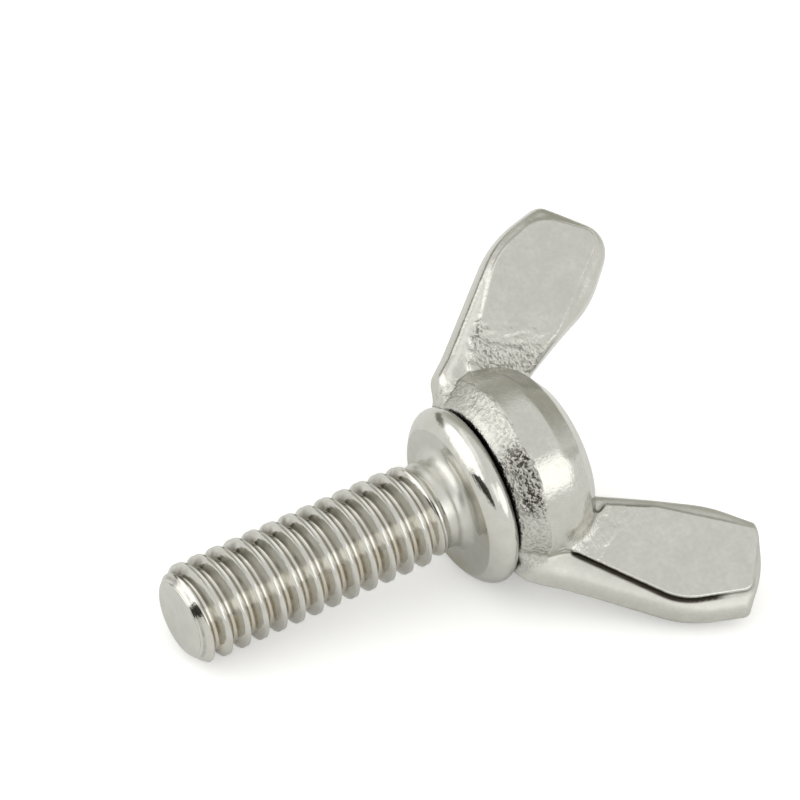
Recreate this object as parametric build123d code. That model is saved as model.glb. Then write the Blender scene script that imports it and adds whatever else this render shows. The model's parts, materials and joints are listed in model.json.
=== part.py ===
from build123d import *
import os
from math import asin, atan2, cos, degrees, hypot, radians, sin, sqrt, tan

# A quarter-inch wing screw in two pieces: a rolled stud with a solid collar, and a cast head with two
# wings that is pressed onto the stud's spigot. Millimetres. Both pieces are drawn upright on the screw's
# own axis, with z = 0 on the collar's bearing face, the thread below it and the wings along X above it.
# They are then laid down together in the position the screw comes to rest in on a flat surface.

# Stud
thread_diameter = 6.35  # 1/4-20 UNC, major diameter
thread_length = 19.05  # from the collar's bearing face to the tip
tip_face_diameter = 5.2
tip_chamfer_length = 0.6
neck_diameter = 5.6  # the blank's size before rolling, about the thread's pitch diameter
neck_length = 1.7  # plain length between the thread and the collar
runout_length = 1.2  # the thread fades to the neck over this length
neck_fillet = 1.05
collar_diameter = 11.5
collar_thickness = 1.65
collar_face_diameter = 10.0  # the flat bearing ring, up to the crease where the rolled rim starts
collar_back_diameter = 11.3
collar_widest_height = 1.15  # of the rim's widest ring above the bearing face
spigot_diameter = 4.8
spigot_length = 4.0
spigot_chamfer = 0.4

# Head, its heights measured from the underside of the hub
seam_width = 0.25  # the open joint between the collar and the hub
seat_diameter = 8.6  # the boss under the hub that seats on the collar
press_clearance = 0.01  # all round the spigot
bore_end_gap = 0.5
hub_base_diameter = 10.2
hub_diameter = 12.4
hub_height = 6.75
hub_waist_height = 1.65  # the as-cast cone below the barrel ends here
hub_shoulder_radius = 2.7
hub_crown_radius = 11.7

# Wings: each is widest at its parting line, in the plane of both wings, and narrows to a flat face on
# each side. Corners are (distance from the axis, height above the hub's underside), from the heel at
# the outer edge, past the end's corner and the tip, to the throat between the wings.
wing_thickness = 3.3
wing_root_depth = 3.0  # the wings reach this far in towards the screw's axis
parting_heel = (13.4, 8.25)
parting_end = (14.4, 12.1)
parting_tip = (10.4, 15.5)
parting_throat = (7.3, 12.3)
parting_foot_slope = 49.7  # of the edge from the hub to the heel, in degrees
parting_crotch_slope = 68.0  # of the edge from the hub to the throat
parting_heel_radius = 4.5
parting_end_radius = 1.0
parting_tip_radius = 1.9
parting_throat_radius = 7.0
face_heel = (12.3, 8.05)
face_end = (13.35, 11.7)
face_tip = (10.2, 14.35)
face_throat = (7.8, 11.45)
face_foot_slope = 42.0
face_crotch_slope = 55.8
face_heel_radius = 3.5
face_end_radius = 0.9
face_tip_radius = 0.9
face_throat_radius = 4.0

# Worked out from the sizes above
thread_radius = thread_diameter / 2
neck_radius = neck_diameter / 2
collar_radius = collar_diameter / 2
hub_radius = hub_diameter / 2
hub_base = collar_thickness + seam_width
spigot_top = collar_thickness + spigot_length
bore_radius = spigot_diameter / 2 + press_clearance
tip_ring = tip_chamfer_length - thread_length


def turned(outline):
    """A solid of revolution from the lines and arcs of half its section, in (radius, height)."""
    return revolve(Plane.XZ * make_face(outline), Axis.Z)


def flanged_stud():
    """The stud: chamfered tip, shank at the thread's major diameter, neck, collar and spigot."""
    neck_bottom = -neck_length
    fillet_start = (neck_radius, -neck_fillet)
    fillet_end = (neck_radius + neck_fillet, 0)
    rim_start = (collar_face_diameter / 2, 0)
    rim_widest = (collar_radius, collar_widest_height)
    rim_end = (collar_back_diameter / 2, collar_thickness)
    spigot_radius = spigot_diameter / 2
    shank = Polyline(
        (0, -thread_length),
        (tip_face_diameter / 2, -thread_length),
        (thread_radius, tip_ring),
        (thread_radius, neck_bottom - runout_length),
        (neck_radius, neck_bottom),
        fillet_start,
    )
    fillet_middle = (
        neck_radius + neck_fillet * (1 - cos(radians(45))),
        -neck_fillet * (1 - sin(radians(45))),
    )
    neck = ThreePointArc(fillet_start, fillet_middle, fillet_end)
    bearing = Line(fillet_end, rim_start)
    rim_front = TangentArc(rim_widest, rim_start, tangent=(0, -1))
    rim_back = TangentArc(rim_widest, rim_end, tangent=(0, 1))
    back = Polyline(
        rim_end,
        (spigot_radius, collar_thickness),
        (spigot_radius, spigot_top - spigot_chamfer),
        (spigot_radius - spigot_chamfer, spigot_top),
        (0, spigot_top),
        (0, -thread_length),
    )
    return turned(shank + neck + bearing + rim_front + rim_back + back)


def hub():
    """The head's body: cone, barrel, round shoulder and domed crown, with a seat boss and blind bore."""
    crown_top = hub_base + hub_height
    crown_centre = crown_top - hub_crown_radius
    shoulder_inset = hub_radius - hub_shoulder_radius
    shoulder_height = crown_centre + sqrt((hub_crown_radius - hub_shoulder_radius) ** 2 - shoulder_inset**2)
    lean = atan2(shoulder_height - crown_centre, shoulder_inset)
    crown_edge = (hub_crown_radius * cos(lean), crown_centre + hub_crown_radius * sin(lean))
    waist = (hub_radius, hub_base + hub_waist_height)
    shoulder = (hub_radius, shoulder_height)
    base_edge = (hub_base_diameter / 2, hub_base)
    seat_radius = seat_diameter / 2
    bore_top = spigot_top + bore_end_gap
    underside = Polyline(
        (0, bore_top),
        (bore_radius, bore_top),
        (bore_radius, collar_thickness),
        (seat_radius, collar_thickness),
        (seat_radius, hub_base),
        base_edge,
    )
    cone = Line(base_edge, waist)
    barrel = Line(waist, shoulder)
    shoulder_round = TangentArc(shoulder, crown_edge, tangent=(0, 1))
    crown = TangentArc((0, crown_top), crown_edge, tangent=(1, 0))
    axis_line = Line((0, crown_top), (0, bore_top))
    return turned(underside + cone + barrel + shoulder_round + crown + axis_line)


def wing_section(offset, corners, foot_slope, crotch_slope, radii):
    """One closed section of a wing, parallel to the plane of both wings and `offset` away from it."""
    heel, end, tip, throat = corners
    foot = (wing_root_depth, heel[1] - (heel[0] - wing_root_depth) * tan(radians(foot_slope)))
    crotch_height = hub_height * 2 / 3
    crotch = (throat[0] - (throat[1] - crotch_height) / tan(radians(crotch_slope)), crotch_height)
    edge = FilletPolyline(foot, heel, end, tip, throat, crotch, radius=list(radii))
    section = make_face(edge + Line(crotch, foot))
    return Plane.XZ.offset(-offset) * (Pos(0, hub_base) * section)


def parting_section():
    """The wing's widest section, at its parting line."""
    radii = (parting_heel_radius, parting_end_radius, parting_tip_radius, parting_throat_radius)
    corners = (parting_heel, parting_end, parting_tip, parting_throat)
    return wing_section(0, corners, parting_foot_slope, parting_crotch_slope, radii)


def face_section(side):
    """One of the wing's two flat faces: side is 1 for the +Y face and -1 for the other."""
    radii = (face_heel_radius, face_end_radius, face_tip_radius, face_throat_radius)
    corners = (face_heel, face_end, face_tip, face_throat)
    return wing_section(side * wing_thickness / 2, corners, face_foot_slope, face_crotch_slope, radii)


def wing():
    """One wing on the +X side, lofted from face to parting line to face so that its walls are round."""
    return loft([face_section(-1), parting_section(), face_section(1)])


def wing_head():
    """The cast head: the hub and both wings in one piece, flat underneath round the seat boss."""
    reach = 3 * parting_end[0]
    below = Pos(0, 0, hub_base) * Box(reach, reach, reach, align=(Align.CENTER, Align.CENTER, Align.MAX))
    right = wing() - below
    return hub() + right + mirror(right, Plane.YZ)


def wing_outline_points():
    """Points round a wing's parting line and one of its faces, as (distance, thickness side, height)."""
    samples = 48
    points = []
    for section in (parting_section(), face_section(1)):
        border = section.wires()[0]
        points += [border @ (step / samples) for step in range(samples)]
    return points


def resting_angles():
    """The tilt and roll, in radians, that lay the screw on its thread's tip, its head and one wing."""
    rings = [
        (collar_radius, collar_widest_height),
        (hub_base_diameter / 2, hub_base),
        (hub_radius, hub_base + hub_waist_height),
    ]
    tilt = max(atan2(radius - thread_radius, height - tip_ring) for radius, height in rings)
    drop = thread_radius * cos(tilt) - tip_ring * sin(tilt)
    touching = []
    for point in wing_outline_points():
        arm = hypot(point.X, point.Y)
        reach = (drop + point.Z * sin(tilt)) / cos(tilt)
        if reach < arm:
            touching.append(asin(reach / arm) - atan2(abs(point.Y), point.X))
    return tilt, min(touching)


def laid_down(pieces):
    """The pieces turned together into the resting position and set on the plane z = 0."""
    tilt, roll = resting_angles()
    turn = Rot(Z=90) * Rot(X=90 - degrees(tilt)) * Rot(Z=degrees(roll))
    turned_pieces = {name: turn * piece for name, piece in pieces.items()}
    box = Compound(list(turned_pieces.values())).bounding_box()
    centre = box.center()
    seat = Pos(-centre.X, -centre.Y, -box.min.Z)
    return {name: seat * piece for name, piece in turned_pieces.items()}


os.makedirs("parts", exist_ok=True)
screw = laid_down({"flanged_stud": flanged_stud(), "wing_head": wing_head()})
for node, solid in screw.items():
    export_step(solid, f"parts/{node}.step")
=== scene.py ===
import json
from functools import reduce
from math import acos, atan2, ceil, cos, pi, radians, sin, sqrt, tan

import bmesh
import bpy
import numpy as np
from mathutils import Matrix, Vector


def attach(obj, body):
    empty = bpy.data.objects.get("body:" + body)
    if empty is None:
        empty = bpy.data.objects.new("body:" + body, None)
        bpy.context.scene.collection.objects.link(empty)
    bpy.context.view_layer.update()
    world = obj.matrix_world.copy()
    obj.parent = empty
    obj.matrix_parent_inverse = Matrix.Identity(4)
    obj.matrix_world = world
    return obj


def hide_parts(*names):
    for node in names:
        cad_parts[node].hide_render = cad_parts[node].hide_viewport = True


# A quarter-inch wing screw: a rolled stud with a collar, and a cast head with two wings. Both pieces are
# drawn in the screw's own frame, in millimetres: z = 0 on the collar's bearing face, the thread below it,
# the wings along X above it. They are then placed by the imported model's mounts.

MM = 0.001

# Stud. What the part's source simplifies is drawn here: the thread, the tip and the collar's rim.
PITCH = 1.27
FLANK_LEAN = 60  # degrees, of a flank from the axis
THREAD_RADIUS = 3.165  # within the tolerance on a nominal 3.175
ROOT_RADIUS = 2.49
CREST_HALF_WIDTH = 0.13
CREST_DIP = 0.05  # rolling leaves a shallow seam along the crest
CREST_ROUND = 0.06
ROOT_ROUND = 0.14
THREAD_LENGTH = 18.92  # within the tolerance on a nominal 19.05
THREAD_FADE = (-3.1, -1.2)  # heights between which the thread turns into the neck
FAINT_RIDGE = 0.11  # how much of it shows on the neck, down to nothing between the next two heights
FAINT_FADE = (-1.7, -0.45)
TIP_RADIUS = 2.3
TIP_CHAMFER = 0.85
TIP_SWELL = 0.05  # how far the chamfer stands out past the end face's edge
TIP_ROUND = 0.25
TIP_FILLED = (0.2, 0.9)  # above the end: the thread's valleys are filled up to here, and open from there
TIP_VALLEY = 0.1  # how deep the filled ones are
END_ROUND = 0.1  # of the end face's edge
END_RIM = 0.09
NECK_RADIUS = 2.8
NECK_EASE = 0.02  # by which the shank's skin keeps below the neck
NECK_FILLET = 0.8
SHANK_TOP = -0.42  # the shank's skin ends here, in the fillet, and rings carry on
FILLET_START = 38  # degrees, where the rings take the fillet over
COLLAR_RADIUS = 5.7
COLLAR_THICKNESS = 1.65
COLLAR_FACE_RADIUS = 4.78
COLLAR_FACE_HEIGHT = -0.04  # at the crease, as the face is a little hollow
COLLAR_SHIFT = (-0.21, -0.03)  # heading leaves the collar a little out of centre
COLLAR_BACK_RADIUS = 5.42
COLLAR_BACK_EDGE = 0.12
COLLAR_WIDEST = 1.1
SPIGOT_RADIUS = 2.4
SPIGOT_LENGTH = 4.0
SPIGOT_CHAMFER = 0.4
SHARP_EDGE = 30  # degrees between faces, from where they don't shade as one

# Head
GRID = 0.11  # spacing of its skin
SEAM_WIDTH = 0.25
SEAT_RADIUS = 4.3
BORE_RADIUS = 2.41
BORE_TOP = 6.15
HUB_BASE = COLLAR_THICKNESS + SEAM_WIDTH
HUB_BASE_RADIUS = 5.1
HUB_RADIUS = 6.2
HUB_HEIGHT = 6.75
HUB_WAIST = 1.65  # the as-cast cone below the barrel ends here
WAIST_ROUND = 0.05
WAIST_INSET = 0.03
HUB_FOOT = ((0.1, 0.15), (0.02, 0.09), (-0.25, 0))  # a lip at the cone's foot: past the base radius, and up
SHOULDER_RADIUS = 2.7
CROWN_RADIUS = 11.7
HUB_AREA = (0, 1), (17, 18)  # where its distance is sampled, as low and high (radius, height)

# Wings, drawn from the foot round the tip to the crotch: corners are (distance from the axis, height above
# the hub's underside, radius). The parting line is the outline at mid thickness, and the face is a flat pad
# that stands a step above the wing's core. The castings differ: one wing's tip is rounder, and its step is
# low and soft; the other's tip is squarer, and its step is high and crisp.
WING_HALF = 1.65
WING_ROOT = 3.0
PAD_DRAFT = 0.12
PAD_ROUND = 0.14
CORE_ROUND = 0.25
RIM_SHARE = 0.3  # the core's steep rim and its shallow ledge, as shares of the way from parting line to pad
LEDGE_SHARE = 0.65
ROUND_PARTING = ((6.95, 0.75, 0.8), (13.45, 8.4, 8), (14.32, 12.2, 0.9), (10.45, 15.6, 1.9), (7.25, 12.3, 7),
                 (4.9, 6.5, 1))
ROUND_FACE = ((6.65, 2.75, 0.2), (12.3, 7.85, 5), (13.4, 11.5, 2.2), (10.8, 14.6, 0.9), (6.5, 9.35, 6),
              (4.9, 6.45, 0.3))
ROUND_CORE_HALF = 1.5
ROUND_STEP = 0.4
SQUARE_PARTING = ((6.4, 0, 1.0), (13.3, 8.25, 7), (14.3, 11.8, 0.5), (12.2, 13.85, 5), (9.3, 14.93, 0.5),
                  (7.0, 12.75, 8), (3.55, 6.5, 1))
SQUARE_FACE = ((6.35, 3.1, 0.2), (11.9, 7.85, 4), (13.1, 12.25, 0.7), (9.85, 14.5, 0.4), (6.0, 9.25, 5),
               (4.6, 6.4, 0.3))
SQUARE_CORE_HALF = 1.28
SQUARE_STEP = 0.08
WING_REACH = 14.4
WING_TOP = 15.6
WING_AREA = (0, -4), (16, 17)
ROOT_EDGE = ((6.5, 2.9), (4.8, 6.45))  # the pad's edge toward the hub
ROOT_MIDDLE = (5.65, 4.7)
WING_COURSE = (0.6, 0.8)  # the way a wing runs, out and up

# Where the wings grow out of the hub: a wide fillet at the foot, which narrows upward between two heights
CROTCH_FILLET = 0.5
FOOT_FILLET = 1.6  # added to it at the foot
FILLET_FADE = (1.5, 4.2)
UNDERSIDE_ROUND = 0.3

# The casting's marks. A pair of numbers is where a mark is 0 and where it is full, or the other way round
# for one that ends.
CONE_END = (6.15, 6.6)  # radii where the cone's cast skin ends
PITS_START = (82, 98)  # degrees round the axis, from a wing
PITS_END = (126, 140)
PITS_RISE = (0.3, 0.8)  # heights above the hub's base
FOLDS_END = (0.9, 3.4)  # distances from the pad's root edge
FOLDS_START = (-4.0, -0.1)
FOLDS_REACH = 3.4  # how much further they run out along the lower edge of the round wing
LOWER_EDGE = (-0.8, 1.8)  # distances up the root edge, where that ends
ROUND_FOLDS = 1.1
SQUARE_FOLDS = 0.4
SEAM_SHADE = ((0.03, 0.13), (5.6, 5.8))  # painted shade in the seam: heights above the hub's base, and radii, where it ends
STEP_SHADE = ((-0.06, 0.0), (0.17, 0.3))  # painted shade in the step below the square wing's pads: distances past the pad's edge
STEP_HEEL = (0.2, 1.2)  # distances from the wing's middle to the side of its foot, where the step's painted shade is darker
STEP_TIP = (8.3, 9.3)  # distances out along the wing, where the step's painted shade is lighter
SATIN_START = (3, 6)  # distances of the dull edges from the axis, on the square wing
CAST_DEPTH = 0.03
PIT_DEPTH = 0.13
FOLD_DEPTH = 0.17
FOLD_STRETCH = 0.45  # scale of the folds' pattern along the root edge, which they follow
FOLD_BEND = 0.2
PEEL_DEPTH = 0.012

# Finish
NICKEL = (0.63, 0.625, 0.585)
NICKEL_DULL = (0.58, 0.57, 0.525)
SEAM_AND_STEP_SHADE = (0.035, 0.03, 0.022)  # painted shade in the seam and in the step below the square wing's pads
PIT_AND_FOLD_SHADE = (0.08, 0.07, 0.055)  # painted shade in the pits and folds
SPECKLE = (0.5, 0.49, 0.44)  # the casting's fine dull spots
THREAD_SHADE = (0.17, 0.155, 0.125)  # painted shade in the thread's valleys on the side away from the ground, and at the foot of its flanks
TAN_SHADE_AND_STAIN = (0.56, 0.51, 0.42)  # painted shade in the thread's valleys, most on the side toward the ground, and the colour of a stain on the collar's face
MOTTLE = (0.35, 0.7)  # values of the noise from the dull to the clear nickel
STUD_ROUGHNESS = (0.09, 0.15)
NECK_ROUGHER = 0.22
HEAD_ROUGHNESS = (0.15, 0.22)
CAST_ROUGHER = 0.08
GROUND_SMOOTHER = 0.03
SATIN_ROUGHER = 0.26

# The stud's painted shade and its stain. Arcs are measured both ways round from the round wing's side, in
# millimetres at
# ARC_RADIUS. The other pairs are heights and radii. Each pair is where a mark is 0 and where it is full.
ARC_RADIUS = 6.0
# Arcs of the painted shade in the thread's valleys: dark away from the ground, tan toward it
DARK_ARC = (6.6, 3.2)
TAN_ARC = (12.0, 14.5)
VALLEY_TOP = (-1.4, -2.4)  # painted shade in the thread's valleys as a whole
VALLEY_END = (0.3 - THREAD_LENGTH, 0.8 - THREAD_LENGTH)
VALLEY_DEPTH = (THREAD_RADIUS - 0.15, ROOT_RADIUS + 0.1)
FOOT_TOP = (-1.6, -2.6)  # a line of painted shade at the foot of the thread's flanks
FOOT_INNER = (ROOT_RADIUS + 0.04, ROOT_RADIUS + 0.1)
FOOT_OUTER = (ROOT_RADIUS + 0.26, ROOT_RADIUS + 0.15)
SPOT_ARC = ((8.6, 9.8), (16.0, 15.0))  # a stain on the collar's face
SPOT_RADIUS = (4.15, 4.6)
SPOT_HEIGHT = (0.0, -0.03)
COLLAR_BACK = (COLLAR_THICKNESS - 0.2, COLLAR_THICKNESS - 0.08)  # painted shade toward the seam
SATIN_NECK = ((-2.0, -1.2), (-0.02, -0.08))  # the neck is duller

# The floor and its light
FLOOR_HALF = 3.0  # metres
PAPER = (0.88, 0.88, 0.87)
PAPER_ROUGHNESS = 0.9
PAPER_GLOW = 0.3  # for the camera only

# The studio round the screw: the light of its walls, then patches on them by azimuth from +X, elevation,
# half width and half height in degrees, softness of the edge, and the light there
WALLS = (0.95, 0.95, 0.94)
STUDIO = (
    (157, 25, 38, 22, 0.25, (1.9, 1.9, 1.88)),
    (150, 62, 34, 13, 0.4, (1.3, 1.3, 1.28)),
    (-70, 28, 25, 19, 0.3, (1.8, 1.8, 1.78)),
    (-112, 34, 16, 12, 0.5, (1.5, 1.5, 1.48)),
    (103, 5, 20, 9, 0.4, (0.25, 0.24, 0.2)),
    (45, 25, 42, 27, 0.6, (0.52, 0.52, 0.46)),
    (-164, 3, 23, 16, 0.2, (0.04, 0.038, 0.03)),
)

# Grinding marks on the hub. Belts run round part of it: rise of the surface's normal above the sides and
# depth below the round shape, then the middle and half spread in degrees round the axis from a wing.
# Flats are single touches of the belt: turn round the axis, rise, drop below the shoulder, depth and the
# radius of their swell.
BELTS = ((28, 0.16, 70, 32), (52, 0.1, 90, 60))
BELT_FADE = 14  # degrees past the spread, over which a belt leaves the hub
BELT_CLEAR = 0.05  # how far off it then lies
FLATS = ((141, 2, 0.5, 0.05, 40), (112, 34, 0, 0.06, 40), (-62, 3, 0.6, 0.05, 40), (-100, 4, 0.4, 0.07, 40),
         (-133, 2, 0.6, 0.05, 40), (-95, 34, 0, 0.06, 40))
GRIND_ROUND = 0.03

# How the screw lies
WING_ROLL = 27.189  # degrees, of the wings about the screw's axis

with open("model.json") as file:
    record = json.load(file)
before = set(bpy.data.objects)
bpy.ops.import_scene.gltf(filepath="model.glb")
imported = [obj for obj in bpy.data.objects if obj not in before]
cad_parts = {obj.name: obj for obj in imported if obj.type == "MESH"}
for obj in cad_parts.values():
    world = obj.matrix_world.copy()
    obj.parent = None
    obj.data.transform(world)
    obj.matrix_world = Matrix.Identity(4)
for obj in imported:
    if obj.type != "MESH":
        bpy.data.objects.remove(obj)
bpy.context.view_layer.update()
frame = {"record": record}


def screw_frame(record):
    """The screw's own frame in the row frame, from the thread's and the bearing face's mounts."""
    mounts = {mount["name"]: mount for mount in record["mounts"]}
    axis = -Vector(mounts["thread"]["axis"])
    middle = Vector(mounts["thread"]["pos_m"])
    rise = (Vector(mounts["bearing_face"]["pos_m"]) - middle).dot(axis)
    level = Vector((0, 1, 0))
    up = axis.cross(level)
    wing = cos(radians(WING_ROLL)) * level + sin(radians(WING_ROLL)) * up
    placed = Matrix((wing, axis.cross(wing), axis)).transposed().to_4x4()
    placed.translation = middle + rise * axis
    return placed


placed = screw_frame(frame["record"])

# ---------------------------------------------------------------- outlines and distances


def arc(centre, radius, start, end, steps=24):
    """Points along an arc, with its angles in degrees."""
    angles = np.radians(np.linspace(start, end, steps))
    return np.stack([centre[0] + radius * np.cos(angles), centre[1] + radius * np.sin(angles)], axis=1)


def rounded(corners, radii, steps=40):
    """A closed outline with each corner rounded to its radius."""
    corners = [Vector(corner) for corner in corners]
    points = []
    for index, corner in enumerate(corners):
        before = (corners[index - 1] - corner).normalized()
        after = (corners[(index + 1) % len(corners)] - corner).normalized()
        radius = radii[index]
        if radius == 0:
            points.append(np.array([corner]))
            continue
        half = acos(max(-1, min(1, before.dot(after)))) / 2
        reach = radius / tan(half)
        centre = corner + (before + after).normalized() * radius / sin(half)
        first = corner + before * reach - centre
        last = corner + after * reach - centre
        start = atan2(first.y, first.x)
        turn = (atan2(last.y, last.x) - start + pi) % (2 * pi) - pi
        points.append(arc(centre, radius, start * 180 / pi, (start + turn) * 180 / pi, steps))
    return np.concatenate(points)


def signed_distance(outline, u, v):
    """Distance from each point to a closed outline, negative inside it."""
    nearest = np.full(u.shape, 1e9)
    inside = np.zeros(u.shape, bool)
    for start, end in zip(outline, np.roll(outline, -1, axis=0)):
        du, dv = end - start
        length2 = du * du + dv * dv
        if length2 < 1e-14:
            continue
        along = np.clip(((u - start[0]) * du + (v - start[1]) * dv) / length2, 0, 1)
        gap2 = (u - start[0] - along * du) ** 2 + (v - start[1] - along * dv) ** 2
        nearest = np.minimum(nearest, gap2)
        if dv:
            crosses = (start[1] > v) != (end[1] > v)
            inside ^= crosses & (u < start[0] + du * (v - start[1]) / dv)
    return np.where(inside, -1, 1) * np.sqrt(nearest)


class Section:
    """The signed distance to an outline, sampled once on a fine grid and read anywhere from it."""

    def __init__(self, outline, low, high, step=0.06):
        self.low = np.array(low, float)
        self.step = step
        counts = [int(ceil((top - bottom) / step)) + 2 for bottom, top in zip(low, high)]
        u = self.low[0] + step * np.arange(counts[0])
        v = self.low[1] + step * np.arange(counts[1])
        self.values = signed_distance(outline, *np.meshgrid(u, v, indexing="ij"))

    def __call__(self, u, v):
        s = np.clip((u - self.low[0]) / self.step, 0, self.values.shape[0] - 1.001)
        t = np.clip((v - self.low[1]) / self.step, 0, self.values.shape[1] - 1.001)
        i, j = s.astype(int), t.astype(int)
        s, t = s - i, t - j
        near = self.values[i, j] * (1 - t) + self.values[i, j + 1] * t
        far = self.values[i + 1, j] * (1 - t) + self.values[i + 1, j + 1] * t
        return near * (1 - s) + far * s


def smooth_min(a, b, width):
    """The smaller of two distances, with a round of about `width` where they meet."""
    share = np.maximum(width - np.abs(a - b), 0) / width
    return np.minimum(a, b) - share * share * width / 4


def smooth_max(a, b, width):
    return -smooth_min(-a, -b, width)


def smooth_step(value, start, end):
    share = np.clip((value - start) / (end - start), 0, 1)
    return share * share * (3 - 2 * share)


def band(value, rise, fall):
    """1 between two pairs of limits and 0 beyond them, with a smooth step over each pair."""
    return smooth_step(value, *rise) * (1 - smooth_step(value, *fall))


def grain(points, size, seed):
    """Smooth noise from -1 to 1 with features of about `size`, the same on every run."""
    spot = np.asarray(points) / size + 100.0
    cell = np.floor(spot).astype(np.int64)
    share = spot - cell
    share = share * share * (3 - 2 * share)
    total = np.zeros(spot.shape[:-1])
    for corner in range(8):
        step = np.array([corner & 1, corner >> 1 & 1, corner >> 2 & 1])
        weight = np.where(step, share, 1 - share).prod(axis=-1)
        # The corner's value comes from a hash of its place, by large primes
        key = ((cell + step) * np.array([73856093, 19349663, 83492791])).sum(axis=-1) + seed * 2654435761
        key = (key ^ (key >> 13)) * 1274126177 & 0xFFFFFFFF
        total += weight * ((key >> 8) % 65536 / 32767.5 - 1)
    return total


def layered_grain(points, size, seed, layers=3):
    """Noise with finer layers added, each half as large and half as strong."""
    return sum(grain(points, size / 2**n, seed + n) / 2**n for n in range(layers))


# ---------------------------------------------------------------- stud


def thread_shape(offset):
    """Radius of the full thread at an axial distance from the middle of its nearest crest."""
    crest = THREAD_RADIUS - CREST_DIP * np.clip(1 - (offset / CREST_HALF_WIDTH) ** 2, 0, 1)
    flank = THREAD_RADIUS - (offset - CREST_HALF_WIDTH) * tan(radians(FLANK_LEAN))
    root = np.full_like(offset, ROOT_RADIUS)
    return smooth_max(smooth_min(crest, flank, CREST_ROUND), root, ROOT_ROUND)


def neck_shape(z):
    """Radius of the plain neck and its fillet up to the collar."""
    rise = np.clip((z + NECK_FILLET) / NECK_FILLET, 0, 1)
    return NECK_RADIUS + NECK_FILLET * (1 - np.sqrt(np.clip(1 - rise * rise, 0, 1)))


def shank_radius(z, turn):
    """Radius of the shank at height z and at `turn` turns about the axis."""
    phase = z / PITCH - turn
    offset = np.abs(phase - np.round(phase)) * PITCH
    full = thread_shape(offset)
    fade = smooth_step(z, *THREAD_FADE)
    ridge = (full - ROOT_RADIUS) / (THREAD_RADIUS - ROOT_RADIUS)
    faint = FAINT_RIDGE * (1 - smooth_step(z, *FAINT_FADE))
    radius = full * (1 - fade) + (neck_shape(z) - NECK_EASE + faint * ridge) * fade
    above_end = z + THREAD_LENGTH
    filled = 1 - smooth_step(above_end, *TIP_FILLED)
    radius = radius * (1 - filled) + np.maximum(radius, THREAD_RADIUS - TIP_VALLEY) * filled
    cone = TIP_RADIUS + TIP_SWELL + above_end * (THREAD_RADIUS - TIP_RADIUS) / TIP_CHAMFER
    return smooth_min(radius, cone, TIP_ROUND)


def ring_profile_top():
    """Radius and height of the rings from the neck's fillet over the collar to the spigot's end."""
    turns = np.radians(np.linspace(FILLET_START, 90, 9))
    fillet = [(NECK_RADIUS + NECK_FILLET * (1 - cos(a)), -NECK_FILLET * (1 - sin(a))) for a in turns]
    inner = NECK_RADIUS + NECK_FILLET
    face_width = COLLAR_FACE_RADIUS - inner
    shares = np.linspace(0, 1, 9)[1:]
    face = [(inner + share * face_width, share * COLLAR_FACE_HEIGHT) for share in shares]
    front_height = COLLAR_WIDEST - COLLAR_FACE_HEIGHT
    front_width = COLLAR_RADIUS - COLLAR_FACE_RADIUS
    lifts = np.linspace(1, 0, 15)[1:]
    front = [(COLLAR_RADIUS - front_width * lift**2, COLLAR_WIDEST - front_height * lift) for lift in lifts]
    back_height = COLLAR_THICKNESS - COLLAR_WIDEST
    back_width = COLLAR_RADIUS - COLLAR_BACK_RADIUS
    back = [(COLLAR_RADIUS - back_width * drop**2.5, COLLAR_WIDEST + back_height * drop) for drop in shares]
    edge = [(COLLAR_BACK_RADIUS - COLLAR_BACK_EDGE, COLLAR_THICKNESS)]
    spigot_top = COLLAR_THICKNESS + SPIGOT_LENGTH
    spigot = [(SEAT_RADIUS, COLLAR_THICKNESS), (SPIGOT_RADIUS, COLLAR_THICKNESS),
              (SPIGOT_RADIUS, spigot_top - SPIGOT_CHAMFER), (SPIGOT_RADIUS - SPIGOT_CHAMFER, spigot_top)]
    return fillet + face + front + back + edge + spigot


def ring_profile_tip():
    """Radius and height of the rings from the tip's chamfer round onto its flat end."""
    inner = TIP_RADIUS - END_ROUND
    width = END_ROUND + END_RIM
    turns = np.radians(np.linspace(0, 90, 6))
    return [(inner + width * cos(a), -THREAD_LENGTH + END_ROUND * (1 - sin(a))) for a in turns]


def open_rim(mesh, upper):
    """The vertices of one open end of the shank, in order round the axis."""
    rim = {v for edge in mesh.edges if edge.is_boundary for v in edge.verts}
    middle = -THREAD_LENGTH / 2
    side = [v for v in rim if (v.co.z > middle) == upper]
    return sorted(side, key=lambda v: atan2(v.co.y, v.co.x))


def grow_rings(mesh, rim, profile):
    """Carries an open end on along a profile of (radius, height), shifted with the collar, and closes it."""
    angles = [atan2(v.co.y, v.co.x) for v in rim]
    ring = rim
    for radius, height in profile:
        shift = smooth_step(radius, NECK_RADIUS + NECK_FILLET, COLLAR_FACE_RADIUS)
        dx, dy = shift * COLLAR_SHIFT[0], shift * COLLAR_SHIFT[1]
        fresh = [mesh.verts.new((radius * cos(a) + dx, radius * sin(a) + dy, height)) for a in angles]
        for index in range(len(ring)):
            after = (index + 1) % len(ring)
            mesh.faces.new((ring[index], ring[after], fresh[after], fresh[index]))
        ring = fresh
    mesh.faces.new(ring)


def helix_grid(across, columns):
    """Points of the shank along the helix: one row for each column's angle, running on over all turns."""
    start = -THREAD_LENGTH - PITCH
    turns = int(ceil((THREAD_LENGTH + 2 * PITCH) / PITCH)) + 1
    along = np.arange(turns * columns)
    z = start + along[:, None] * PITCH / columns + across[None, :]
    turn = np.repeat(along[:, None] / columns, len(across), axis=1)
    radius = shank_radius(z, turn + start / PITCH)
    angle = 2 * pi * turn
    return np.stack([radius * np.cos(angle), radius * np.sin(angle), z], axis=-1)


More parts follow.
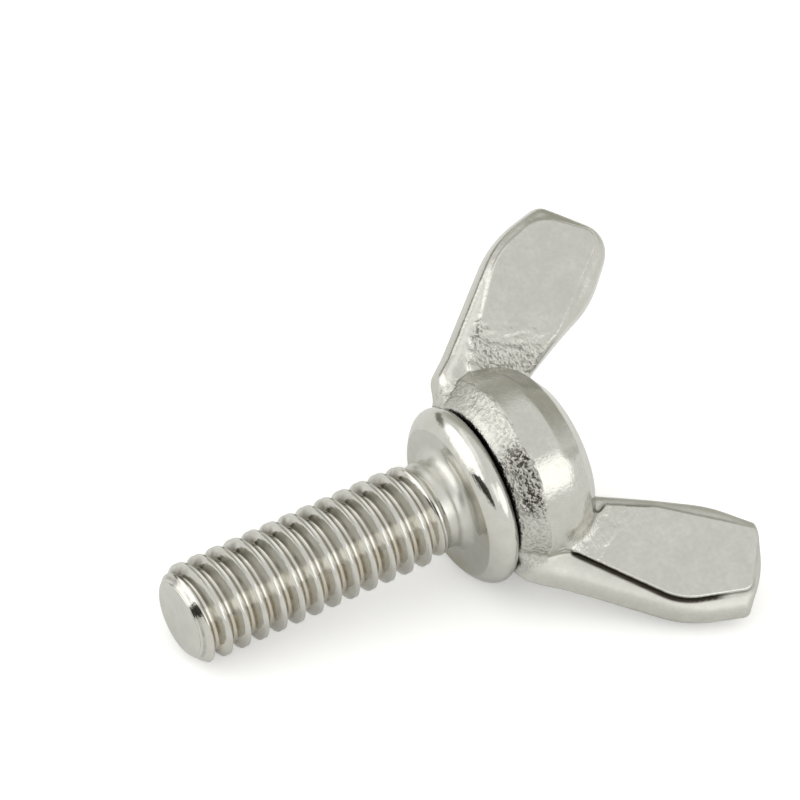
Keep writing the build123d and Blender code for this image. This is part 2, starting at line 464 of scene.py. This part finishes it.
def stud_mesh():
    """The stud with its real helical thread, made along the helix so that crests are unbroken lines."""
    columns = 96
    # Places across the thread, from the middle of a crest to the middle of a valley
    half = np.array([0, 0.05, 0.09, 0.13, 0.17, 0.21, 0.26, 0.32, 0.38, 0.43, 0.47, 0.51, 0.55, 0.59, 0.635])
    across = np.concatenate([half, PITCH - half[-2:0:-1]])
    mesh = bmesh.new()
    grid = [[mesh.verts.new(point) for point in row] for row in helix_grid(across, columns)]
    last = len(across) - 1
    for t in range(len(grid) - columns - 1):
        low, high = grid[t], grid[t + 1]
        for k in range(last):
            mesh.faces.new((low[k], high[k], high[k + 1], low[k + 1]))
        mesh.faces.new((low[last], high[last], grid[t + 1 + columns][0], grid[t + columns][0]))
    for height, normal in ((-THREAD_LENGTH + END_ROUND, (0, 0, 1)), (SHANK_TOP, (0, 0, -1))):
        parts = list(mesh.verts) + list(mesh.edges) + list(mesh.faces)
        bmesh.ops.bisect_plane(mesh, geom=parts, plane_co=(0, 0, height), plane_no=normal, clear_inner=True)
    loose = [v for v in mesh.verts if not v.link_faces]
    bmesh.ops.delete(mesh, geom=loose, context="VERTS")
    top, tip = open_rim(mesh, True), open_rim(mesh, False)
    grow_rings(mesh, top, ring_profile_top())
    grow_rings(mesh, tip, ring_profile_tip())
    bmesh.ops.remove_doubles(mesh, verts=mesh.verts, dist=1e-5)
    bmesh.ops.recalc_face_normals(mesh, faces=mesh.faces)
    bmesh.ops.scale(mesh, vec=(MM, MM, MM), verts=mesh.verts)
    made = bpy.data.meshes.new("rolled_stud")
    mesh.to_mesh(made)
    mesh.free()
    made.shade_smooth()
    made.set_sharp_from_angle(angle=radians(SHARP_EDGE))
    return made


# ---------------------------------------------------------------- head


def shoulder_middle():
    """Radius and height of the middle of the round between the hub's side and its crown."""
    inset = HUB_RADIUS - SHOULDER_RADIUS
    crown_centre = HUB_BASE + HUB_HEIGHT - CROWN_RADIUS
    return inset, crown_centre + sqrt((CROWN_RADIUS - SHOULDER_RADIUS) ** 2 - inset**2)


def hub_outline():
    """Half of the hub's section, as (radius, height), with its seat and its blind bore."""
    crown_centre = HUB_BASE + HUB_HEIGHT - CROWN_RADIUS
    inset, shoulder = shoulder_middle()
    lean = atan2(shoulder - crown_centre, inset) * 180 / pi
    crown = arc((0, crown_centre), CROWN_RADIUS, 90, lean, 60)
    shoulder_arc = arc((inset, shoulder), SHOULDER_RADIUS, lean, 0, 60)
    under = np.array([
        (HUB_RADIUS, HUB_BASE + HUB_WAIST + WAIST_ROUND),
        (HUB_RADIUS - WAIST_INSET, HUB_BASE + HUB_WAIST - WAIST_ROUND),
        *[(HUB_BASE_RADIUS + past, HUB_BASE + up) for past, up in HUB_FOOT],
        (SEAT_RADIUS, HUB_BASE),
        (SEAT_RADIUS, COLLAR_THICKNESS),
        (BORE_RADIUS, COLLAR_THICKNESS),
        (BORE_RADIUS, BORE_TOP),
        (0, BORE_TOP),
    ])
    return np.concatenate([crown, shoulder_arc, under])


def wing_section(corners, into_hub):
    """The distance to one outline of a wing, which may run on into the hub."""
    points = [corner[:2] for corner in corners]
    radii = [corner[2] for corner in corners]
    if into_hub:
        points = [(WING_ROOT, points[0][1]), *points, (WING_ROOT, points[-1][1] - 1)]
        radii = [0, *radii, 0]
    return Section(rounded(points, radii), *WING_AREA)


hub_section = Section(hub_outline(), *HUB_AREA)
round_wing = wing_section(ROUND_PARTING, True), wing_section(ROUND_FACE, False)
square_wing = wing_section(SQUARE_PARTING, True), wing_section(SQUARE_FACE, False)


def hub_reach(rise):
    """How far the hub's surface reaches along a direction that rises by an angle from its sides."""
    inset, shoulder = shoulder_middle()
    return inset * cos(rise) + shoulder * sin(rise) + SHOULDER_RADIUS


def ground_hub(x, y, z):
    """The hub with the flats that a grinding belt left on its sides and shoulder."""
    radius = np.hypot(x, y)
    around = np.degrees(np.arctan2(y, x)) % 180
    body = hub_section(radius, z)
    for rise, depth, middle, half in BELTS:
        angle = radians(rise)
        fade = smooth_step(np.abs(around - middle), half, half + BELT_FADE)
        flat = radius * cos(angle) + z * sin(angle) - hub_reach(angle) + depth - fade * (depth + BELT_CLEAR)
        body = smooth_max(body, flat, GRIND_ROUND)
    inset, shoulder = shoulder_middle()
    for turn, rise, drop, depth, swell in FLATS:
        back = SHOULDER_RADIUS - depth - swell
        distance = inset + back * cos(radians(rise))
        level = shoulder - drop + back * sin(radians(rise))
        middle = (distance * cos(radians(turn)), distance * sin(radians(turn)), level)
        touch = np.sqrt((x - middle[0]) ** 2 + (y - middle[1]) ** 2 + (z - middle[2]) ** 2) - swell
        body = smooth_max(body, touch, GRIND_ROUND)
    return body


def wing_field(sections, out, height, side, core_half, step):
    """Signed distance to a wing: its core, and the flat pads on it, with a round of `step` at their foot."""
    parting, face = [section(out, height) for section in sections]
    level = np.clip(side / core_half, 0, 1.05)
    share = RIM_SHARE * level + LEDGE_SHARE * level**6
    core = smooth_max(parting * (1 - share) + face * share, side - core_half, CORE_ROUND)
    pad = smooth_max(face - PAD_DRAFT * (WING_HALF - side), side - WING_HALF, PAD_ROUND)
    return smooth_min(core, pad, step)


def head_field(points):
    """Signed distance to the head's surface."""
    x, y, z = points[..., 0], points[..., 1], points[..., 2]
    out, height, side = np.abs(x), z - HUB_BASE, np.abs(y)
    first = wing_field(round_wing, out, height, side, ROUND_CORE_HALF, ROUND_STEP)
    second = wing_field(square_wing, out, height, side, SQUARE_CORE_HALF, SQUARE_STEP)
    wing = smooth_max(np.where(x > 0, first, second), -height, UNDERSIDE_ROUND)
    fillet = CROTCH_FILLET + FOOT_FILLET * (1 - smooth_step(height, *FILLET_FADE))
    return smooth_min(ground_hub(x, y, z), wing, fillet)


CELL_CORNERS = [(i, j, k) for i in (0, 1) for j in (0, 1) for k in (0, 1)]


def slopes_of(field, points, reach=0.03):
    """The field's gradient, by differences."""
    parts = []
    for axis in range(3):
        shift = np.zeros(3)
        shift[axis] = reach
        parts.append((field(points + shift) - field(points - shift)) / (2 * reach))
    return np.stack(parts, axis=-1)


def cell_points(values, cells):
    """In each cell, the middle of the places where the surface crosses the cell's edges."""
    total = np.zeros((len(cells), 3))
    hits = np.zeros(len(cells))
    for corner in CELL_CORNERS:
        for axis in range(3):
            if corner[axis]:
                continue
            first = cells + corner
            second = first.copy()
            second[:, axis] += 1
            a = values[tuple(first.T)].astype(float)
            b = values[tuple(second.T)].astype(float)
            crossed = (a < 0) != (b < 0)
            share = np.where(crossed, a / np.where(crossed, a - b, 1), 0)
            spot = first.astype(float)
            spot[:, axis] += share
            total[crossed] += spot[crossed]
            hits += crossed
    return total / hits[:, None]


def crossing_quads(solid, number, axis):
    """The quads round the grid edges along one axis that the surface crosses, facing outward."""
    u, v = [other for other in range(3) if other != axis]
    low_end = [slice(None)] * 3
    low_end[axis] = slice(0, -1)
    high_end = [slice(None)] * 3
    high_end[axis] = slice(1, None)
    below, above = solid[tuple(low_end)], solid[tuple(high_end)]
    edges = np.argwhere(below != above)
    edges = edges[(edges[:, u] > 0) & (edges[:, v] > 0)]
    edges = edges[(edges[:, u] < solid.shape[u] - 1) & (edges[:, v] < solid.shape[v] - 1)]
    quad = []
    for back_u, back_v in ((1, 1), (0, 1), (0, 0), (1, 0)):
        cell = edges.copy()
        cell[:, u] -= back_u
        cell[:, v] -= back_v
        quad.append(number[tuple(cell.T)])
    quad = np.stack(quad, axis=1)
    outward = below[tuple(edges.T)] == (axis != 1)
    return np.where(outward[:, None], quad, quad[:, ::-1])


def skin(field, low, high, step):
    """A mesh of quads on the field's zero surface: one vertex in each cell that the surface crosses."""
    counts = [int(ceil((top - bottom) / step)) + 1 for bottom, top in zip(low, high)]
    axes = [bottom + step * np.arange(count) for bottom, count in zip(low, counts)]
    values = np.empty(counts, np.float32)
    plane = np.meshgrid(axes[1], axes[2], indexing="ij")
    for index, x in enumerate(axes[0]):
        values[index] = field(np.stack([np.full_like(plane[0], x), *plane], axis=-1))
    solid = values < 0
    filled = np.zeros([count - 1 for count in counts], np.int8)
    for i, j, k in CELL_CORNERS:
        filled += solid[i:counts[0] - 1 + i, j:counts[1] - 1 + j, k:counts[2] - 1 + k]
    cells = np.argwhere((filled > 0) & (filled < 8))
    number = np.full(filled.shape, -1, np.int64)
    number[tuple(cells.T)] = np.arange(len(cells))
    points = np.array(low) + step * cell_points(values, cells)
    faces = np.concatenate([crossing_quads(solid, number, axis) for axis in range(3)])
    # A few Newton steps bring the points onto the surface
    for _ in range(4):
        slope = slopes_of(field, points)
        steepness = np.maximum((slope**2).sum(-1), 0.05)
        points = points - np.clip(field(points) / steepness, -step / 3, step / 3)[:, None] * slope
    return points, faces


def along_wing(points):
    """Distances from the pad's root edge out along the wing, and along that edge."""
    foot, crotch = np.array(ROOT_EDGE[0]), np.array(ROOT_EDGE[1])
    edge = (crotch - foot) / np.linalg.norm(crotch - foot)
    spot = np.stack([np.abs(points[:, 0]), points[:, 2] - HUB_BASE], axis=-1) - foot
    return spot @ np.array([edge[1], -edge[0]]), spot @ edge


def cast_mark(points):
    """Where the hub has its cast skin: on the cone, up to an uneven line at the waist."""
    edge = HUB_BASE + HUB_WAIST + 0.1 * grain(points, 1.1, 5) + 0.1 * grain(points, 0.4, 7)
    radius = np.hypot(points[:, 0], points[:, 1])
    return (1 - smooth_step(points[:, 2], edge - 0.1, edge + 0.05)) * (1 - smooth_step(radius, *CONE_END))


def pitted_mark(points, cast):
    """Where the cone is pitted: most in one stretch of it, near the waist."""
    around = np.degrees(np.arctan2(points[:, 1], points[:, 0])) % 180
    height = points[:, 2] - HUB_BASE + 0.2 * grain(points, 0.8, 13)
    stretch = 0.22 + 0.78 * band(around, PITS_START, PITS_END)
    return cast * stretch * (0.3 + 0.7 * smooth_step(height, *PITS_RISE))


def wrinkled_mark(points):
    """Where the pads' skin is folded: at their roots, and further out along the round wing's lower edge."""
    x, side = points[:, 0], np.abs(points[:, 1])
    on_face = band(side, (WING_HALF - 0.3, WING_HALF - 0.12), (WING_HALF + 0.1, WING_HALF + 0.25))
    from_root, along = along_wing(points)
    further = FOLDS_REACH * (1 - smooth_step(along, *LOWER_EDGE)) * (x > 0)
    near_root = band(from_root + 0.6 * grain(points, 1.4, 9) - further, FOLDS_START, FOLDS_END)
    off_hub = smooth_step(hub_section(np.hypot(x, points[:, 1]), points[:, 2]), 0.0, 0.2)
    return on_face * near_root * off_hub * np.where(x > 0, ROUND_FOLDS, SQUARE_FOLDS)


def ground_mark(points):
    """Where the hub is ground: above its waist."""
    radius = np.hypot(points[:, 0], points[:, 1])
    above_waist = smooth_step(points[:, 2] - HUB_BASE - HUB_WAIST, 0, 0.2)
    return above_waist * (1 - smooth_step(radius, HUB_RADIUS, HUB_RADIUS + 0.3))


def satin_mark(points):
    """Where the square wing's edges are dull."""
    side = np.abs(points[:, 1])
    on_edge = 1 - smooth_step(side, SQUARE_CORE_HALF, SQUARE_CORE_HALF + 0.2)
    return on_edge * smooth_step(-points[:, 0], *SATIN_START)


def grime_mark(points):
    """How much painted shade lies in the seam, and in the step below the square wing's pads."""
    radius = np.hypot(points[:, 0], points[:, 1])
    out, height, side = np.abs(points[:, 0]), points[:, 2] - HUB_BASE, np.abs(points[:, 1])
    seam = (1 - smooth_step(height, *SEAM_SHADE[0])) * (1 - smooth_step(radius, *SEAM_SHADE[1]))
    under_pad = (SQUARE_CORE_HALF - 0.25, SQUARE_CORE_HALF - 0.1), (WING_HALF - 0.12, WING_HALF - 0.04)
    step = band(square_wing[1](out, height), *STEP_SHADE) * band(side, *under_pad)
    from_root = out - ROOT_MIDDLE[0], height - ROOT_MIDDLE[1]
    toward_heel = from_root[0] * WING_COURSE[1] - from_root[1] * WING_COURSE[0]
    outward = from_root[0] * WING_COURSE[0] + from_root[1] * WING_COURSE[1]
    step = step * (0.35 + 0.65 * smooth_step(toward_heel, *STEP_HEEL))
    step = step * (1 - 0.8 * smooth_step(outward, *STEP_TIP))
    return np.maximum(seam, step * (points[:, 0] < 0))


def relief_depth(points, marks):
    """How deep the casting's marks go at each point."""
    pits = np.clip(0.5 + 0.6 * layered_grain(points, 0.5, 21, 2), 0, 1) ** 1.5
    out, along = along_wing(points)
    folded = np.stack([out, FOLD_STRETCH * along, points[:, 1]], axis=-1)
    folded = folded + FOLD_BEND * grain(points, 0.7, 61)[:, None]
    folds = np.clip(1.1 - 1.6 * np.abs(layered_grain(folded, 0.62, 33, 2)), 0, 1)
    peel = 0.5 + 0.5 * grain(points, 1.3, 45)
    depth = (CAST_DEPTH * marks["cast"] + PIT_DEPTH * marks["pitted"]) * pits
    return depth + FOLD_DEPTH * marks["wrinkled"] * folds + PEEL_DEPTH * peel


def quad_mesh(name, points, faces):
    """A smooth mesh of quads, from points in millimetres."""
    made = bpy.data.meshes.new(name)
    made.vertices.add(len(points))
    made.vertices.foreach_set("co", (points * MM).ravel())
    made.loops.add(4 * len(faces))
    made.loops.foreach_set("vertex_index", faces.ravel())
    made.polygons.add(len(faces))
    made.polygons.foreach_set("loop_start", np.arange(0, 4 * len(faces), 4))
    made.update(calc_edges=True)
    made.validate()
    made.shade_smooth()
    return made


def head_mesh():
    """The cast head as one skin over the hub and both wings."""
    reach = WING_REACH + 0.4
    margin = 0.3
    low = (-reach, -HUB_RADIUS - margin, COLLAR_THICKNESS - margin)
    high = (reach, HUB_RADIUS + margin, HUB_BASE + WING_TOP + margin)
    points, faces = skin(head_field, low, high, GRID)
    cast = cast_mark(points)
    marks = {"cast": cast, "pitted": pitted_mark(points, cast), "wrinkled": wrinkled_mark(points)}
    slope = slopes_of(head_field, points)
    normal = slope / np.linalg.norm(slope, axis=1)[:, None]
    outer = points[:, 2] > HUB_BASE - 0.05
    points = points - (relief_depth(points, marks) * outer)[:, None] * normal
    # The last mark holds where painted shade goes: in the seam and in the step below the square wing's pads
    marks.update(ground=ground_mark(points), satin=satin_mark(points), grime=grime_mark(points))
    made = quad_mesh("cast_head", points, faces)
    for name, values in marks.items():
        made.attributes.new(name, "FLOAT", "POINT").data.foreach_set("value", values.astype(np.float32))
    return made


# ---------------------------------------------------------------- materials


def add(tree, kind, inputs=(), **settings):
    """A new node with its settings, and its inputs given as numbers or as sockets to link from."""
    made = tree.nodes.new(kind)
    for name, value in settings.items():
        setattr(made, name, value)
    for name, value in dict(inputs).items():
        if isinstance(value, bpy.types.NodeSocket):
            tree.links.new(value, made.inputs[name])
        else:
            made.inputs[name].default_value = value
    return made


def maths(tree, operation, *values):
    return add(tree, "ShaderNodeMath", dict(enumerate(values)), operation=operation).outputs[0]


def product(tree, *values):
    return reduce(lambda first, second: maths(tree, "MULTIPLY", first, second), values)


def total(tree, *values):
    return reduce(lambda first, second: maths(tree, "ADD", first, second), values)


def noise(tree, vector, scale, detail=2.0, roughness=0.5):
    """Noise with `scale` features to the millimetre, about 0.5."""
    inputs = {"Vector": vector, "Scale": scale, "Detail": detail, "Roughness": roughness}
    return add(tree, "ShaderNodeTexNoise", inputs).outputs[0]


def spread(tree, value, low, high, to_low=0.0, to_high=1.0):
    """Takes a value from one range to another and keeps it there."""
    inputs = {"Value": value, "From Min": low, "From Max": high, "To Min": to_low, "To Max": to_high}
    return add(tree, "ShaderNodeMapRange", inputs).outputs[0]


def mark(tree, name):
    return add(tree, "ShaderNodeAttribute", attribute_name=name).outputs["Fac"]


def split(tree, vector):
    return add(tree, "ShaderNodeSeparateXYZ", {0: vector}).outputs


def stretched(tree, vector, scale):
    return add(tree, "ShaderNodeVectorMath", {0: vector, 1: scale}, operation="MULTIPLY").outputs[0]


def screw_vectors(tree):
    """The screw's own frame in millimetres, straight and rolled out round the axis (arc, height, radius)."""
    back = placed.inverted()
    inputs = {"Vector": add(tree, "ShaderNodeTexCoord").outputs["Object"], "Location": back.translation / MM,
              "Rotation": back.to_euler(), "Scale": (1 / MM, 1 / MM, 1 / MM)}
    straight = add(tree, "ShaderNodeMapping", inputs).outputs[0]
    x, y, z = split(tree, straight)
    arc_length = product(tree, maths(tree, "ARCTAN2", y, x), ARC_RADIUS)
    radius = maths(tree, "SQRT", total(tree, product(tree, x, x), product(tree, y, y)))
    return straight, add(tree, "ShaderNodeCombineXYZ", {0: arc_length, 1: z, 2: radius}).outputs[0]


def mixed(tree, share, low, high):
    """A colour between two, by a share from 0 to 1. Each is three numbers or a socket."""
    made = add(tree, "ShaderNodeMix", {0: share}, data_type="RGBA")
    for socket, colour in ((made.inputs[6], low), (made.inputs[7], high)):
        if isinstance(colour, bpy.types.NodeSocket):
            tree.links.new(colour, socket)
        else:
            socket.default_value = (*colour, 1)
    return made.outputs[2]


def coated(tree, tone, *coats):
    """A colour under coats of others, each given as its share and its colour."""
    for share, colour in coats:
        tone = mixed(tree, share, tone, colour)
    return tone


def bumps(tree, *layers):
    """Bumps laid one over the other, each given as its height and its depth in millimetres."""
    normal = {}
    for height, depth in layers:
        inputs = {"Height": height, "Distance": depth * MM, "Strength": 1.0, **normal}
        normal = {"Normal": add(tree, "ShaderNodeBump", inputs).outputs[0]}
    return normal["Normal"]


def metal(name, finish):
    """A metal with the colour, the roughness and the relief that `finish` makes in its node tree."""
    material = bpy.data.materials.new(name)
    material.use_nodes = True
    tree = material.node_tree
    shader = tree.nodes["Principled BSDF"]
    shader.inputs["Metallic"].default_value = 1
    for socket, value in zip(("Base Color", "Roughness", "Normal"), finish(tree)):
        tree.links.new(value, shader.inputs[socket])
    return material


def stud_finish(tree):
    """Nickel plate on rolled and turned steel: fine lines round the axis, painted shade in the thread's
    valleys.
    """
    straight, rolled = screw_vectors(tree)
    arc_length, height, radius = split(tree, rolled)
    arc_length = maths(tree, "ABSOLUTE", arc_length)
    lines = noise(tree, stretched(tree, rolled, (0.25, 9.0, 9.0)), 1.0)
    dapple = noise(tree, straight, 1.3, 3.0)
    fine = noise(tree, straight, 9.0)
    uneven = total(tree, radius, spread(tree, dapple, 0.3, 0.7, -0.15, 0.15))
    valley = product(tree, spread(tree, uneven, *VALLEY_DEPTH), spread(tree, height, *VALLEY_TOP),
                     spread(tree, height, *VALLEY_END))
    dark = product(tree, valley, spread(tree, arc_length, *DARK_ARC))
    brown = product(tree, valley, spread(tree, arc_length, *TAN_ARC),
                    spread(tree, dapple, 0.4, 0.55, 0.4, 1.0))
    foot = product(tree, spread(tree, radius, *FOOT_INNER), spread(tree, radius, *FOOT_OUTER),
                   spread(tree, dapple, 0.38, 0.62, 0.1, 0.55), spread(tree, height, *FOOT_TOP))
    ragged = total(tree, radius, product(tree, dapple, 0.6))
    spot = product(tree, spread(tree, arc_length, *SPOT_ARC[0]), spread(tree, arc_length, *SPOT_ARC[1]),
                   spread(tree, ragged, *SPOT_RADIUS), spread(tree, height, *SPOT_HEIGHT))
    tone = mixed(tree, spread(tree, dapple, *MOTTLE), NICKEL_DULL, NICKEL)
    # Painted shade in the thread's valleys, dark away from the ground and tan toward it, and at the foot of
    # the flanks; a stain on the collar's face; painted shade on the collar's back toward the seam
    tone = coated(tree, tone, (product(tree, valley, 0.2), TAN_SHADE_AND_STAIN), (dark, THREAD_SHADE),
                  (brown, TAN_SHADE_AND_STAIN), (foot, THREAD_SHADE), (product(tree, spot, 0.6), TAN_SHADE_AND_STAIN),
                  (spread(tree, height, *COLLAR_BACK), SEAM_AND_STEP_SHADE))
    satin = product(tree, spread(tree, height, *SATIN_NECK[0]), spread(tree, height, *SATIN_NECK[1]))
    rough = total(tree, spread(tree, fine, 0.3, 0.7, *STUD_ROUGHNESS), product(tree, satin, NECK_ROUGHER))
    return tone, rough, bumps(tree, (lines, 0.006), (dapple, 0.02))


def head_finish(tree):
    """Nickel plate on the casting: pitted on the cone, wrinkled at the wings' roots, ground on the hub."""
    straight, rolled = screw_vectors(tree)
    names = ("cast", "pitted", "wrinkled", "ground", "satin", "grime")
    cast, pitted, wrinkled, ground, satin, grime = [mark(tree, name) for name in names]
    dapple = noise(tree, straight, 0.9, 3.0)
    pits = noise(tree, straight, 4.5, 3.0, 0.6)
    peel = noise(tree, straight, 2.2)
    fine_peel = noise(tree, straight, 5.5, 2.0, 0.6)
    creases = noise(tree, stretched(tree, straight, (1.6, 1.6, 2.6)), 2.0, 3.0, 0.6)
    scratches = noise(tree, stretched(tree, rolled, (0.35, 7.0, 7.0)), 1.0, 3.0, 0.6)
    speckle = spread(tree, noise(tree, straight, 3.2, 4.0, 0.7), 0.35, 0.65, 0.4, 0.0)
    hollow = product(tree, spread(tree, pits, 0.52, 0.42), pitted)
    crease = product(tree, spread(tree, creases, 0.48, 0.38, 0.0, 0.5), spread(tree, wrinkled, 0.6, 1.0))
    tone = mixed(tree, spread(tree, dapple, *MOTTLE), NICKEL_DULL, NICKEL)
    # Fine dull spots, then painted shade in the pits and folds, and painted shade in the seam and the step
    # below the square wing's pads
    tone = coated(tree, tone, (speckle, SPECKLE), (hollow, PIT_AND_FOLD_SHADE), (crease, PIT_AND_FOLD_SHADE), (grime, SEAM_AND_STEP_SHADE))
    rough = total(tree, product(tree, cast, CAST_ROUGHER), product(tree, ground, -GROUND_SMOOTHER),
                  spread(tree, dapple, 0.3, 0.7, *HEAD_ROUGHNESS), product(tree, satin, SATIN_ROUGHER))
    relief = bumps(tree, (peel, 0.012), (fine_peel, 0.014), (product(tree, pits, cast), 0.06),
                   (product(tree, pits, pitted), 0.2), (product(tree, creases, wrinkled), 0.2),
                   (product(tree, scratches, ground), 0.008))
    return tone, rough, relief


# ---------------------------------------------------------------- the two pieces


def piece(name, mesh, material, node):
    """Puts a mesh in the screw's frame in the place of a CAD node."""
    mesh.transform(placed)
    mesh.materials.append(material)
    made = bpy.data.objects.new(name, mesh)
    bpy.context.scene.collection.objects.link(made)
    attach(made, "root")
    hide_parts(node)


piece("rolled_stud", stud_mesh(), metal("stud_nickel", stud_finish), "flanged_stud")
piece("cast_head", head_mesh(), metal("head_nickel", head_finish), "wing_head")

# ---------------------------------------------------------------- floor, light and camera

floor_mesh = bpy.data.meshes.new("floor")
corners = [(x * FLOOR_HALF, y * FLOOR_HALF, 0) for x, y in ((-1, -1), (1, -1), (1, 1), (-1, 1))]
floor_mesh.from_pydata(corners, [], [(0, 1, 2, 3)])
floor = bpy.data.objects.new("floor", floor_mesh)
bpy.context.scene.collection.objects.link(floor)
paper = bpy.data.materials.new("paper")
paper.use_nodes = True
tree = paper.node_tree
matt = tree.nodes["Principled BSDF"]
matt.inputs["Base Color"].default_value = (*PAPER, 1)
matt.inputs["Roughness"].default_value = PAPER_ROUGHNESS
seen = add(tree, "ShaderNodeLightPath").outputs["Is Camera Ray"]
glow = add(tree, "ShaderNodeEmission", {"Strength": product(tree, seen, PAPER_GLOW)})
lit = add(tree, "ShaderNodeAddShader", {0: matt.outputs[0], 1: glow.outputs[0]})
tree.links.new(lit.outputs[0], tree.nodes["Material Output"].inputs["Surface"])
floor_mesh.materials.append(paper)


def direction(azimuth, elevation):
    a, e = radians(azimuth), radians(elevation)
    return Vector((cos(a) * cos(e), sin(a) * cos(e), sin(e)))


def facing(tree, ray, way):
    return add(tree, "ShaderNodeVectorMath", {0: ray, 1: way}, operation="DOT_PRODUCT").outputs["Value"]


def sky_patch(tree, colour, azimuth, elevation, width, height, soft, light):
    """Lays an oval of light or dark on the studio's walls. Sizes are half widths in degrees."""
    middle = direction(azimuth, elevation)
    across = Vector((0, 0, 1)).cross(middle).normalized()
    above = middle.cross(across)
    ray = add(tree, "ShaderNodeTexCoord").outputs["Generated"]
    squares = []
    for axis, half in ((across, width), (above, height)):
        share = facing(tree, ray, axis / sin(radians(half)))
        squares.append(product(tree, share, share))
    oval = spread(tree, total(tree, *squares), 1 + soft, 1 - soft)
    front = maths(tree, "GREATER_THAN", facing(tree, ray, middle), 0.0)
    return mixed(tree, product(tree, oval, front), colour, light)


world = bpy.data.worlds.new("studio")
bpy.context.scene.world = world
world.use_nodes = True
tree = world.node_tree
sky = WALLS
for patch in STUDIO:
    sky = sky_patch(tree, sky, *patch)
tree.links.new(sky, tree.nodes["Background"].inputs["Color"])

# The camera looks from the tip's side, from above, and almost without perspective
VIEW_FROM = Vector((-0.4529, -0.5832, 0.6743))
VIEW_UP = Vector((0.28348, 0.62289, 0.72914))
VIEW_MIDDLE = Vector((3.504, 9.356, 4.904)) * MM
VIEW_WIDTH = 48.80 * MM
VIEW_LENS = 600.0
camera_data = bpy.data.cameras.new("camera")
camera_data.lens = VIEW_LENS
camera_data.sensor_width = 36.0
camera_data.clip_start = 0.01
camera_data.clip_end = 10
camera = bpy.data.objects.new("camera", camera_data)
bpy.context.scene.collection.objects.link(camera)
distance = VIEW_WIDTH * VIEW_LENS / camera_data.sensor_width
right = VIEW_UP.cross(VIEW_FROM).normalized()
up = VIEW_FROM.cross(right).normalized()
pose = Matrix((right, up, VIEW_FROM)).transposed().to_4x4()
pose.translation = VIEW_MIDDLE + VIEW_FROM.normalized() * distance
camera.matrix_world = pose
bpy.context.scene.camera = camera
bpy.context.scene.view_settings.view_transform = "Standard"
